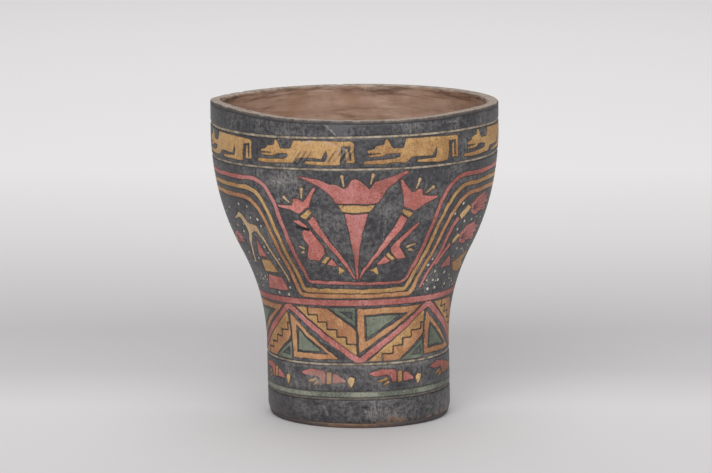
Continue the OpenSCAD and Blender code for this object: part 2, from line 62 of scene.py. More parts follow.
def linear(code: str) -> tuple[float, float, float, float]:
    """Turns an sRGB hex colour into the linear colour that the shaders take.

    Args:
        code: Six hex digits after a hash sign.

    Returns:
        Linear red, green, blue and full alpha.
    """
    channel = np.array([int(code[i:i + 2], 16) for i in (1, 3, 5)]) / 255.0
    value = np.where(channel <= 0.04045, channel / 12.92, ((channel + 0.055) / 1.055) ** 2.4)
    return (*(float(v) for v in value), 1.0)


def add(tree: Tree, kind: str, feeds: Feeds | None = None, out: int | str = 0, **settings) -> Socket | None:
    """Adds one node with its settings and what feeds its inputs.

    Args:
        tree: Node tree that takes the node.
        kind: Blender's type name of the node after ShaderNode.
        feeds: Input name or number to a socket to link, or to a plain value.
        out: Name or number of the output that is wanted.
        settings: Properties of the node.

    Returns:
        That output, or nothing where the node has none.
    """
    node = tree.nodes.new("ShaderNode" + kind)
    for name, value in settings.items():
        setattr(node, name, value)
    for key, value in (feeds or {}).items():
        if isinstance(value, Socket):
            tree.links.new(value, node.inputs[key])
        else:
            node.inputs[key].default_value = value
    return node.outputs[out] if node.outputs else None


def lay(tree: Tree, ground: str | Socket, coats: Iterable[tuple]) -> Socket:
    """Lays tints over a ground, one over the other.

    A tint's share climbs evenly from nothing to its most while a source goes from one value to another.

    Args:
        tree: Node tree of the material.
        ground: Colour under all tints, as a hex value or a socket.
        coats: For each tint its source, the source's value at no share and at the most share, the most
            share as a number or a socket, and the tint as a hex value or a socket.

    Returns:
        The colour on top.
    """
    colour = linear(ground) if isinstance(ground, str) else ground
    for source, none, full, most, tint in coats:
        share = add(tree, "MapRange", {0: source, 1: none, 2: full, 4: most})
        over = linear(tint) if isinstance(tint, str) else tint
        colour = add(tree, "Mix", {0: share, 6: colour, 7: over}, 2, data_type="RGBA")
    return colour


def smoothstep(t: Array) -> Array:
    """Returns 0 below 0, 1 above 1 and a smooth climb between."""
    t = np.clip(t, 0.0, 1.0)
    return t * t * (3.0 - 2.0 * t)


def hump(t: Array, middle: float, half: float) -> Array:
    """Returns a bell curve: 1 at the middle and 1/e at half to either side of it."""
    return np.exp(-((t - middle) / half) ** 2)


def wrapped(az: Array) -> Array:
    """Brings azimuths to within half a turn of the front."""
    return np.mod(az + math.pi, TURN) - math.pi


def counted(sizes: Array) -> tuple[Array, Array]:
    """Returns each place's run and its number in that run, for runs of these sizes laid end to end."""
    run = np.repeat(np.arange(len(sizes)), sizes)
    return run, np.arange(len(run)) - np.repeat(np.cumsum(sizes) - sizes, sizes)


def cells(rows: int, cols: int) -> list[Array]:
    """Returns each cell's corners in a closed grid: lower left and right, then upper right and left."""
    i, j = np.meshgrid(np.arange(rows - 1), np.arange(cols), indexing="ij")
    return [(i + di) * cols + (j + dj) % cols for di, dj in ((0, 0), (0, 1), (1, 1), (1, 0))]


@dataclass(frozen=True)
class CupForm:
    """Section of the cup, with the sizes that the solids have."""

    height: float = 185.0
    mouth_r: float = 85.0
    foot_r: float = 54.0
    flare_z: float = 42.0
    turn_z: float = 100.0
    shoulder_z: float = 170.0
    wall: float = 7.0
    floor: float = 16.0
    floor_round: float = 14.0
    lip_round: float = 2.0
    crest_round: float = 0.9
    foot_round: float = 2.0
    coat: float = 0.8

    def radius(self, z: Array, inset: float | Array = 0.0) -> Array:
        """Outer radius: an upright foot, a hollow arc, a round arc and an upright lip.

        Args:
            z: Heights.
            inset: Depth below the outer surface, square to the wall.

        Returns:
            The radius at each height.
        """
        z, inset = np.broadcast_arrays(np.asarray(z, float), np.asarray(inset, float))
        lean = 2 * math.atan((self.mouth_r - self.foot_r) / (self.shoulder_z - self.flare_z))
        hollow = (self.turn_z - self.flare_z) / math.sin(lean)
        crown = (self.shoulder_z - self.turn_z) / math.sin(lean)
        low = np.maximum((hollow + inset) ** 2 - (z - self.flare_z) ** 2, 0)
        high = np.maximum((crown - inset) ** 2 - (self.shoulder_z - z) ** 2, 0)
        arcs = [self.foot_r + hollow - np.sqrt(low), self.mouth_r - crown + np.sqrt(high)]
        split = self.turn_z + inset * math.sin(lean)
        return np.select([z < self.flare_z, z < split, z < self.shoulder_z],
                         [self.foot_r - inset, *arcs], self.mouth_r - inset)


class Salt(IntEnum):
    """Seeds of the sets of waves, one for each kind of unevenness."""

    SWELL = 1
    ROLL = 2
    SIDE = 3
    SLOW_SIDE = 4
    CLIMB = 5
    SLOW_CLIMB = 6
    TOOL = 8
    ADZE = 9
    NOTCH = 10
    BATCH = 11


@dataclass(frozen=True)
class HandWork:
    """Unevenness of carving by eye and of long use, the same for every piece."""

    form: CupForm
    # A set of waves: how many, what divides their sum, and the radius at which they have their length
    wave_count: int = 12
    wave_sum: float = 4.0
    wave_r: float = 70.0
    # Slope of the axis and the rings, and of the lip
    lean: float = 0.0175
    rim_tilt: float = 0.008
    # Heights where the lip's slope and its higher places begin, and the climb over which they grow
    tilt_z: float = 174.0
    crown_z: float = 175.0
    crown_climb: float = 10.0
    # Rise of the whole lip, and by how much it is lower in front and higher behind
    lift: float = 0.25
    nod: float = 0.65
    # Amount and shortest length of the waves in the wall and in the rings
    swell: Pair = (0.3, 70.0)
    roll: Pair = (0.35, 110.0)
    # How far the waves in the rings follow the height, and the power by which the mouth's form fades
    roll_climb: float = 0.2
    mouth_power: int = 5
    # Heights over which the swell and the rise grow from the foot, and radius within which they fade
    calm: Pair = (20.0, 24.0)
    core_r: float = 30.0
    # Depth and height of the worn edge of the foot
    worn: Pair = (1.3, 7.0)
    # Corner of the mouth, by azimuth and half width, and flats with their depth
    corner: Pair = (-1.68, 0.16)
    flats: Rows = ((-1.6, 0.4, 0.9), (-0.9, 0.35, 1.8))
    # Higher places of the lip: azimuth, half width and height
    peaks: Rows = ((-1.2, 0.55, 3.5), (0.95, 0.45, 1.6))
    # Sags of the upper ring: azimuth and half width, height and half height
    sags: Rows = ((-0.6, 0.6, 175, 7), (1.5, 0.4, 176, 6))
    # Wander of the knife: amount, shortest lengths of quick and slow waves, share of the slow ones
    wander: float = 0.27
    quick: float = 9.0
    slow: float = 26.0
    slow_share: float = 0.7
    # Edge of a band in which the knife keeps to its line
    steady: float = 2.5
    # Figures of the wide panel: edges and how soon the shift is full, shift inwards, lift on the left
    panel: tuple[float, float, float, float] = (80.0, 12.0, 152.0, 10.0)
    inwards: float = 0.6
    left_lift: Triple = (1.2, -0.5, 0.45)

    def waves(self, az: Array, z: Array, length: float, salt: Salt) -> Array:
        """Sum of sine waves that close round the cup, with seeded directions.

        Args:
            az: Azimuths.
            z: Heights.
            length: Shortest wave length.
            salt: Seed of this set of waves.

        Returns:
            Values of about -1 to 1.
        """
        rng = np.random.default_rng(int(salt))
        most = max(2, round(TURN * self.wave_r / length))
        turns = rng.integers(-most, most + 1, self.wave_count)
        climb = rng.uniform(-1, 1, self.wave_count) * TURN / length
        phase = rng.uniform(0, TURN, self.wave_count)
        return sum(np.sin(n * az + k * z + p) for n, k, p in zip(turns, climb, phase)) / self.wave_sum

    def place(self, az: Array, z: Array, r: Array) -> Array:
        """Moves points of the true turned form to where the hand left them.

        The wall swells a little, the mouth has a corner at its left and is flat in front of it, the
        axis leans to the left, the rings climb to the right, the upper ring sags in two places, the
        lip stands higher behind and at both sides, and the foot's edge is worn in.

        Args:
            az: Azimuths.
            z: Heights.
            r: Radii.

        Returns:
            Points in metres, one row each.
        """
        r = r * (1 - self.worn[0] / self.form.foot_r * (1 - smoothstep(z / self.worn[1])))
        mouth = np.exp(-np.abs(az - self.corner[0]) / self.corner[1])
        mouth = mouth - sum(deep * hump(az, at, half) for at, half, deep in self.flats)
        off = np.minimum(r / self.core_r, 1.0)
        swell = self.swell[0] * self.waves(az, z, self.swell[1], Salt.SWELL) * smoothstep(z / self.calm[0])
        r = r + off * (swell + mouth * (z / self.form.height) ** self.mouth_power)
        x = r * np.sin(az)
        tilt = self.lean + (self.rim_tilt - self.lean) * smoothstep((z - self.tilt_z) / self.crown_climb)
        rise = tilt * x + self.roll[0] * self.waves(az, z * self.roll_climb, self.roll[1], Salt.ROLL) * off
        crown = self.lift - self.nod * np.cos(az)
        crown = crown + sum(up * hump(az, at, half) for at, half, up in self.peaks)
        rise = rise + crown * smoothstep((z - self.crown_z) / self.crown_climb) * off
        rise = rise - sum(hump(az, at, half) * hump(z, level, tall) for at, half, level, tall in self.sags)
        up = z + smoothstep(z / self.calm[1]) * rise
        return np.stack([x - self.lean * z, -r * np.cos(az), up], -1) * MM

    def knife(self, points: Array, low: float, high: float) -> Array:
        """Moves outline points as a knife wanders, but not across a band's edges.

        In the wide panel all figures also lie a little nearer its middle, and higher on the left.

        Args:
            points: Rows of azimuth and height.
            low: Height of the band's lower edge.
            high: Height of its upper edge.

        Returns:
            The moved points.
        """
        az, z = points[..., 0], points[..., 1]
        inner = smoothstep((z - low) / self.steady) * smoothstep((high - z) / self.steady)
        side, climb = (self.wander * inner * (self.waves(az, z, self.quick, fast)
                                              + self.slow_share * self.waves(az, z, self.slow, calm))
                       for fast, calm in ((Salt.SIDE, Salt.SLOW_SIDE), (Salt.CLIMB, Salt.SLOW_CLIMB)))
        foot, grow, head, fade = self.panel
        panel = smoothstep((z - foot) / grow) * smoothstep((head - z) / fade)
        side = side - self.inwards * np.sin(2 * az) * panel
        climb = climb + self.left_lift[0] * hump(az, *self.left_lift[1:]) * panel
        return np.stack([az + side / self.form.radius(z), z + climb], -1)


@dataclass(frozen=True)
class WallGrid:
    """Grid of azimuth and height over one band of the wall."""

    form: CupForm
    low: float
    high: float
    pitch: float = 0.57
    # Longest piece that an outline is cut to, and the farthest distance from it that is worked out
    bit: float = 1.0
    reach: float = 1.6
    # Tolerances: off the outer face, from the band's edge, at a grid row, and along a cut side
    skin: float = 0.3
    margin: float = 0.05
    snap: float = 0.01
    least: float = 0.04

    @property
    def rows(self) -> int:
        """Number of rows, with one on each edge of the band."""
        return max(3, round((self.high - self.low) / self.pitch) + 1)

    @property
    def middle_r(self) -> float:
        """Radius of the wall in the middle of the band."""
        return float(self.form.radius((self.low + self.high) / 2))

    @property
    def cols(self) -> int:
        """Number of columns round the cup."""
        return round(TURN * self.middle_r / self.pitch)

    @property
    def step(self) -> Array:
        """Azimuth from column to column and height from row to row."""
        return np.array([TURN / self.cols, (self.high - self.low) / (self.rows - 1)])

    def outline(self, node: str) -> Array:
        """Edges that bound the outer face of a solid: those that an odd number of its triangles have.

        Args:
            node: Name of the solid.

        Returns:
            Segments, each two rows of azimuth and height.
        """
        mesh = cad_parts[node].data
        mesh.calc_loop_triangles()
        flat = np.empty(len(mesh.vertices) * 3, np.float32)
        mesh.vertices.foreach_get("co", flat)
        corner = np.empty(len(mesh.loop_triangles) * 3, np.int32)
        mesh.loop_triangles.foreach_get("vertices", corner)
        point, same = np.unique(np.round(flat.reshape(-1, 3) / MM, 3), axis=0, return_inverse=True)
        off = np.hypot(point[:, 0], point[:, 1]) - self.form.radius(point[:, 2])
        tri = same.reshape(-1)[corner].reshape(-1, 3)
        tri = tri[(np.abs(off) < self.skin)[tri].all(1)]
        sides = np.sort(tri[:, [[0, 1], [1, 2], [2, 0]]].reshape(-1, 2), 1)
        pairs, uses = np.unique(sides, axis=0, return_counts=True)
        ends = point[pairs[uses % 2 == 1]]
        az = np.arctan2(ends[..., 0], -ends[..., 1])
        az[:, 1] -= TURN * np.round((az[:, 1] - az[:, 0]) / TURN)
        return np.stack([az, ends[..., 2]], -1)

    def distance(self, segments: Array, hand: HandWork, grow: float | Array) -> Array:
        """Distance from every grid point to an outline, positive inside it.

        The outline is cut to short pieces, which the knife then moves. At the end it moves outwards
        by grow, but the band's own edges stay.

        Args:
            segments: The outline, in any order.
            hand: Moves the outline as the knife did.
            grow: How far the outline moves outwards, everywhere or at each row.

        Returns:
            Distances in rows and columns, cut off at the reach.
        """
        length = np.linalg.norm((segments[:, 1] - segments[:, 0]) * [self.middle_r, 1.0], axis=1)
        parts = np.maximum(1, np.ceil(length / self.bit)).astype(int)
        owner, index = counted(parts)
        t = np.stack([index, index + 1], 1)[..., None] / parts[owner][:, None, None]
        cut = hand.knife(segments[owner, :1] * (1 - t) + segments[owner, 1:] * t, self.low, self.high)
        level = cut[..., 1].mean(1)
        near = self.nearness(cut[(level > self.low + self.margin) & (level < self.high - self.margin)])
        border = np.linspace(0, self.high - self.low, self.rows)[:, None]
        border = np.minimum(border, border[::-1])
        return np.minimum(np.where(self.enclosed(cut), near, -near) + grow, border)

    def enclosed(self, cut: Array) -> Array:
        """Tells which grid points a line from below reaches after an odd number of crossings.

        Args:
            cut: Short pieces of the outline.

        Returns:
            True or false in rows and columns.
        """
        rows, cols = self.rows, self.cols
        grid = (cut - [-math.pi, self.low]) / self.step
        first = np.ceil(grid[..., 0].min(1)).astype(int)
        count = np.maximum(np.ceil(grid[..., 0].max(1)).astype(int) - first, 0)
        crossed, index = counted(count)
        column = first[crossed] + index
        a, b = grid[crossed, 0], grid[crossed, 1]
        height = a[:, 1] + (b[:, 1] - a[:, 1]) * (column - a[:, 0]) / (b[:, 0] - a[:, 0])
        row = np.where(height > rows - 1 - self.snap, rows, np.ceil(height - self.snap)).astype(int)
        flips = np.zeros((rows + 1, cols), int)
        np.add.at(flips, (np.clip(row, 0, rows), column % cols), 1)
        return np.cumsum(flips, 0)[:-1] % 2 == 1

    def nearness(self, cut: Array) -> Array:
        """Distance from every grid point to the nearest piece of an outline.

        Each piece tells the points in a square round it how near it is, and the least value stays.

        Args:
            cut: Short pieces of the outline.

        Returns:
            Distances in rows and columns, cut off at the reach.
        """
        rows, cols, step = self.rows, self.cols, self.step
        near = np.full((rows, cols), self.reach)
        half = math.ceil((self.reach + self.bit / 2) / self.pitch)
        span = np.arange(-half, half + 1)
        middle = np.round(((cut - [-math.pi, self.low]) / step).mean(1)).astype(int)
        i = (middle[:, 1, None, None] + span[:, None]) + 0 * span
        j = (middle[:, 0, None, None] + span) + 0 * span[:, None]
        r = self.form.radius(cut[..., 1].mean(1))
        point = np.stack([(j * step[0] - math.pi) * r[:, None, None], self.low + i * step[1]], -1)
        flat = cut * np.stack([r, np.ones(len(cut))], 1)[:, None]
        run = (flat[:, 1] - flat[:, 0])[:, None, None]
        to = point - flat[:, 0][:, None, None]
        along = np.clip((to * run).sum(-1) / np.maximum((run ** 2).sum(-1), 1e-9), 0, 1)
        gap = np.linalg.norm(to - along[..., None] * run, axis=-1)
        real = (i >= 0) & (i < rows)
        np.minimum.at(near, (i[real], j[real] % cols), gap[real])
        return near

    def carve(self, depth: Array) -> tuple[Array, Array, Array, Array]:
        """Cuts the part of the grid where the distance is positive out of the band.

        Every grid cell is two triangles. A triangle with all corners inside stays, and one that the
        outline crosses is cut where the distance, taken as even along its sides, is nothing.

        Args:
            depth: Distance to the outline at every grid point.

        Returns:
            Azimuth, height and edge distance of each point, and the triangles.
        """
        rows, cols = depth.shape
        corner = cells(rows, cols)
        even = (np.add.outer(np.arange(rows - 1), np.arange(cols)) % 2 == 0)[..., None]
        one = np.where(even, np.stack(corner[:3], -1), np.stack([corner[0], corner[1], corner[3]], -1))
        two = np.where(even, np.stack([corner[0], corner[2], corner[3]], -1), np.stack(corner[1:], -1))
        tri = np.concatenate([one.reshape(-1, 3), two.reshape(-1, 3)])
        flat = depth.ravel()
        inside = flat[tri] >= 0
        total = inside.sum(1)

        def turned(chosen: Array, lead: Array) -> Array:
            """Turns triangles so that the corner numbered lead comes first."""
            return np.take_along_axis(chosen, (lead[:, None] + np.arange(3)) % 3, 1)

        tip = turned(tri[total == 1], np.argmax(inside[total == 1], 1))
        rest = turned(tri[total == 2], np.argmin(inside[total == 2], 1))
        sides = np.concatenate([tip[:, [0, 1]], tip[:, [0, 2]], rest[:, [0, 1]], rest[:, [0, 2]]])
        keys, found = np.unique(np.sort(sides, 1), axis=0, return_inverse=True)
        fresh = found.reshape(-1) + flat.size
        n, m = len(tip), len(rest)
        ab, ac, db, dc = np.split(fresh, [n, 2 * n, 2 * n + m])
        faces = np.concatenate([tri[total == 3], np.stack([tip[:, 0], ab, ac], 1),
                                np.stack([db, rest[:, 1], rest[:, 2]], 1),
                                np.stack([db, rest[:, 2], dc], 1)])

        p, q = keys[:, 0], keys[:, 1]
        t = np.clip(flat[p] / (flat[p] - flat[q]), self.least, 1 - self.least)
        jp, jq = p % cols, q % cols
        jq = jq + cols * np.round((jp - jq) / cols)
        column = np.concatenate([np.arange(flat.size) % cols, jp + (jq - jp) * t])
        row = np.concatenate([np.arange(flat.size) // cols, p // cols + (q // cols - p // cols) * t])
        edge = np.concatenate([np.maximum(flat, 0), np.zeros(len(keys))])
        used, faces = np.unique(faces, return_inverse=True)
        az = column[used] * TURN / cols - math.pi
        z = self.low + row[used] * (self.high - self.low) / (rows - 1)
        return az, z, edge[used], faces.reshape(-1, 3)


@dataclass(frozen=True)
class Wear:
    """Marks of long use, by place on the wall."""

    form: CupForm
    # Each mark: azimuth and height of both ends in degrees and mm, half width, strength. A pale rub
    # is positive and a dark gouge negative.
    marks: Rows = (
        (-38, 147, -27, 151, 2.6, 0.4), (-35, 150, -30, 146, 1.6, 0.35), (12, 112, 13, 136, 0.35, 0.5),
        (9.5, 118, 10.5, 132, 0.3, 0.45), (-13, 104, -15, 124, 0.3, 0.4), (-26, 121.9, -21, 120.6, 1, -1),
        (-27.3, 123.8, -24, 120.3, 0.5, 0.4), (40, 181, 44.5, 180.8, 0.35, 0.7),
        (-12, 173.5, -3, 168, 0.6, 0.5), (-4, 176, -8, 160, 0.45, 0.45),
        (-19, 172.4, -17.5, 173.4, 0.9, 0.8),
        (3.8, 10.4, 4, 10.5, 2.2, -0.5), (3.8, 10.2, 4, 10.3, 1, 1.3), (1.5, 12.6, 6, 12.8, 0.8, -0.4),
        (-22.5, 13, -20, 8, 0.7, 0.5), (-24, 52, -14, 48, 0.4, 0.3), (21, 64, 27, 58, 0.4, 0.35),
        (-9, 148, -4, 144, 0.5, 0.3), (14, 131, 21, 137, 2, 0.22), (-4, 108, 6, 104, 2.4, 0.16),
        (-33, 30, -24, 26, 1.8, 0.3), (-11, 182.6, -6.4, 176.6, 0.7, 0.75), (-30, 31, -8, 28, 3.5, 0.5),
        (-42, 12, -30, 9, 3, 0.22), (-55, 36.2, 50, 36.4, 0.9, 0.3), (-50, 40, 55, 39.8, 0.7, 0.22),
        (130, 36.3, 235, 36.3, 0.9, 0.3), (120, 130, 128, 118, 0.5, 0.5), (165, 168, 172, 160, 1.6, 0.4),
        (-140, 95, -134, 110, 0.4, 0.5), (-110, 150, -100, 146, 2.2, 0.4), (200, 24, 210, 30, 1.6, 0.35))
    # Hatching scratched into a feline: first line's foot in degrees and mm, number of lines and step
    hatches: Rows = ((-25.5, 160.5, 6, 1.1), (-11.5, 161, 8, 1.15))
    # Run of a hatched line in degrees and mm, and the strengths of the lines in turn
    hatch_run: Pair = (3.0, 6.5)
    hatch_tones: Pair = (0.45, -0.5)
    # Root of each garden fan in degrees and mm, with its size, and the ends of the lines cut in it
    fans: Rows = ((57.9, 127.2, 1.0), (54.8, 110.2, 1.0), (-76, 109.4, 0.6))
    rays: Rows = ((11, 5.6), (16, 4.2), (18.5, 0.3), (15.5, -2.6), (9, -3.4))
    # Where along a ray its line starts, its strength, and the half width of all scratched lines
    ray_start: float = 0.18
    ray_tone: float = -0.42
    scratch: float = 0.5

    def all_marks(self) -> Rows:
        """Lists the marks of use, the hatching, and the lines cut in the fans in front and behind.

        Returns:
            Rows like those of marks.
        """
        run, rise = self.hatch_run
        lines = [(a + step * i, z, a + step * i + run, z + rise, self.scratch, self.hatch_tones[i % 2])
                 for a, z, count, step in self.hatches for i in range(count)]
        cuts = [(a + turn + self.ray_start * k * x, z + self.ray_start * k * y, a + turn + k * x, z + k * y,
                 self.scratch, self.ray_tone)
                for a, z, k in self.fans for x, y in self.rays for turn in (0, 180)]
        return (*self.marks, *lines, *cuts)

    def tone(self, az: Array, z: Array) -> Array:
        """Adds up the marks: each one is a bell curve of the distance from its line.

        Args:
            az: Azimuths.
            z: Heights.

        Returns:
            The tone at each point, from -1 dark to 1 pale.
        """
        r = self.form.radius(z)
        total = np.zeros_like(z)
        for a0, z0, a1, z1, half, strength in self.all_marks():
            x0 = wrapped(az - math.radians(a0)) * r
            run_x, run_z = math.radians(a1 - a0) * r, z1 - z0
            t = np.clip((x0 * run_x + (z - z0) * run_z) / (run_x ** 2 + run_z ** 2), 0, 1)
            total += strength * hump(np.hypot(x0 - t * run_x, z - z0 - t * run_z), 0, half)
        return np.clip(total, -1, 1)


class Pigment(Enum):
    """Colours of the inlaid resin: slot of the record, then body, light and dark tint."""

    YELLOW = ("yellow_resin", "#ba905c", "#cda874", "#8a6039")
    STRAW = ("yellow_resin", "#cca46b", "#deba86", "#946f42")
    ORANGE = ("orange_resin", "#b98459", "#cb9d74", "#8a593d")
    RED = ("red_resin", "#b66c63", "#c68582", "#84463c")
    ROSE = ("red_resin", "#ca7a6f", "#d79792", "#985046")
    GREEN = ("green_resin", "#6a7463", "#858a79", "#474e43")
    MOSS = ("green_resin", "#7c8173", "#9a9b8c", "#4b5047")
    TAN = ("cream_resin", "#cfad86", "#dcc3a2", "#94744e")
    CREAM = ("cream_resin", "#d9b78c", "#e6cda8", "#a07c54")
    WHITE = ("cream_resin", "#cfc7b6", "#dfd9cc", "#a09480")


class Finish:
    """What a piece is made of: a slot of the record, and a node material that is built once."""

    slot: str
    name: str

    def material(self) -> bpy.types.Material:
        """Finds the material by its name, or builds it.

        Returns:
            The node material.
        """
        found = bpy.data.materials.get(self.name)
        if found:
            return found
        made = bpy.data.materials.new(self.name)
        made.use_nodes = True
        tree = made.node_tree
        tree.nodes.clear()
        here = add(tree, "TexCoord", out="Object")
        shader = add(tree, "BsdfPrincipled", self.paint(tree, here))
        add(tree, "OutputMaterial", {"Surface": shader})
        return made

    def paint(self, tree: Tree, here: Socket) -> Feeds:
        """Adds the nodes of the look.

        Args:
            tree: Node tree of the material.
            here: Place on the piece.

        Returns:
            What feeds the shader's inputs, by name.
        """
        raise NotImplementedError


@dataclass(frozen=True)
class InlayResin(Finish):
    """Plant resin ground with pigment, pressed into its place warm and rubbed flush.

    It gives the eye a dull colour that differs from piece to piece, upright streaks of the wood's
    grain, specks where it has fallen out, a dark incised outline and pale rubbed places.
    """

    pigment: Pigment
    line: str = "#2b2625"
    rub: str = "#b9ada3"
    pit: str = "#141010"
    blotch_mm: float = 7.0
    streak_mm: float = 1.1
    speck_mm: float = 0.8
    # Width of the dark outline, and how far the specks draw it outwards
    line_mm: float = 0.55
    drawn_mm: float = 0.22
    roughness: Pair = (0.5, 0.75)

    @property
    def slot(self) -> str:
        """Material slot of the record."""
        return self.pigment.value[0]

    @property
    def name(self) -> str:
        """Name of the material."""
        return self.pigment.name.lower() + "_resin_rubbed"

    def paint(self, tree: Tree, here: Socket) -> Feeds:
        """Lays the tints from the body colour to the gouges. Args and Returns are those of Finish."""
        _, body, light, dark = self.pigment.value
        upright = add(tree, "Mapping", {"Vector": here, "Scale": (1, 1, 0.25)})
        blotch, streak, speck = (
            add(tree, "TexNoise", {"Vector": at, "Scale": 1 / (mm * MM), "Detail": detail,
                                   "Roughness": rough})
            for at, mm, detail, rough in ((here, self.blotch_mm, 6.0, 0.7),
                                          (upright, self.streak_mm, 3.0, 0.65),
                                          (here, self.speck_mm, 2.0, 0.5)))
        edge, tone, shade = (add(tree, "Attribute", out="Fac", attribute_name=key)
                             for key in ("edge", "tone", "shade"))
        batch, worn, loose, ragged = (
            add(tree, "Math", {0: one, 1: share, 2: other}, operation="MULTIPLY_ADD")
            for one, share, other in ((shade, 0.16, blotch), (streak, 1.0, speck), (speck, 1.0, blotch),
                                      (speck, -0.5, edge)))
        loose = add(tree, "Math", {0: streak, 1: 0.6, 2: loose}, operation="MULTIPLY_ADD")
        lost = add(tree, "MapRange", {0: loose, 1: 1.5, 2: 1.66, 4: 0.75})
        colour = lay(tree, body, (
            (batch, 0.46, 0.68, 1.0, light), (batch, 0.5, 0.3, 0.75, dark), (speck, 0.5, 0.3, 0.6, light),
            (worn, 0.97, 1.32, 0.62, dark), (lost, 0.0, 1.0, 1.0, self.line),
            (ragged, self.line_mm - self.drawn_mm, -self.drawn_mm, 0.9, self.line),
            (speck, 0.38, 0.6, tone, self.rub), (tone, -0.15, -0.6, 1.0, self.pit)))
        smooth, matt = self.roughness
        rough = add(tree, "MapRange", {0: blotch, 1: 0.35, 2: 0.65, 3: smooth, 4: matt})
        uneven = add(tree, "Math", {0: streak, 1: lost}, operation="SUBTRACT")
        bump = add(tree, "Bump", {"Height": uneven, "Strength": 0.4, "Distance": 0.25 * MM})
        return {"Base Color": colour, "Roughness": rough, "Normal": bump}


@dataclass(frozen=True)
class BlackLacquer(Finish):
    """Soot-black plant resin brushed over the wood and polished by hands.

    It gives the eye a charcoal ground with a grey sheen, faint dusty clouds, fine upright scratches
    and pale specks, and brown wood where the foot's edge has been rubbed through.
    """

    slot: str = "black_lacquer"
    name: str = "black_lacquer_polished"
    body: str = "#424144"
    dust: str = "#7b7878"
    deep: str = "#1e1d20"
    rub: str = "#a9a49e"
    wood: str = "#7f6350"
    pit: str = "#120f0f"
    cloud_mm: float = 20.0
    dust_mm: float = 2.2
    scratch_mm: float = 2.2
    speck_mm: float = 1.5
    line_mm: float = 0.45
    # Heights between which the foot begins to be rubbed through and is so most
    bare_mm: Pair = (10.0, 2.0)
    roughness: Pair = (0.38, 0.6)

    def paint(self, tree: Tree, here: Socket) -> Feeds:
        """Lays dust, scratches, lines and rubs over the black. Args and Returns are those of Finish."""
        upright = add(tree, "Mapping", {"Vector": here, "Rotation": (0.2, 0.14, 0.0), "Scale": (1, 1, 0.1)})
        cloud, fine, speck, scratch = (
            add(tree, "TexNoise", {"Vector": at, "Scale": 1 / (mm * MM), "Detail": detail,
                                   "Roughness": rough})
            for at, mm, detail, rough in ((here, self.cloud_mm, 4.0, 0.6), (here, self.dust_mm, 6.0, 0.8),
                                          (here, self.speck_mm, 3.0, 0.6),
                                          (upright, self.scratch_mm, 2.0, 0.5)))
        edge, tone = (add(tree, "Attribute", out="Fac", attribute_name=key) for key in ("edge", "tone"))
        high = add(tree, "SeparateXYZ", {0: here}, 2)
        top, bottom = (height * MM for height in self.bare_mm)
        foot = add(tree, "MapRange", {0: high, 1: top, 2: bottom, 4: 0.5})
        both, dots = (
            add(tree, "Math", {0: cloud, 1: share, 2: other}, operation="MULTIPLY_ADD")
            for share, other in ((1.0, fine), (0.3, speck)))
        ends = add(tree, "Math", {0: foot, 1: both}, operation="ADD")
        off = add(tree, "Math", {0: scratch, 1: 0.5}, operation="SUBTRACT")
        line = add(tree, "Math", {0: off}, operation="ABSOLUTE")
        patch = add(tree, "MapRange", {0: cloud, 1: 0.5, 2: 0.68, 3: 0.024, 4: 0.4})
        colour = lay(tree, self.body, (
            (both, 0.93, 1.3, 0.85, self.dust), (fine, 0.54, 0.36, 0.9, self.deep),
            (line, 0.024, 0.006, patch, self.rub), (dots, 0.86, 0.94, 0.65, self.rub),
            (edge, self.line_mm, 0.0, 0.7, self.deep), (ends, 1.36, 1.5, 0.85, self.wood),
            (speck, 0.38, 0.62, tone, self.rub), (tone, -0.15, -0.6, 1.0, self.pit)))
        smooth, matt = self.roughness
        rough = add(tree, "MapRange", {0: both, 1: 0.75, 2: 1.25, 3: smooth, 4: matt})
        bump = add(tree, "Bump", {"Height": fine, "Strength": 0.35, "Distance": 0.25 * MM})
        return {"Base Color": colour, "Roughness": rough, "Normal": bump}


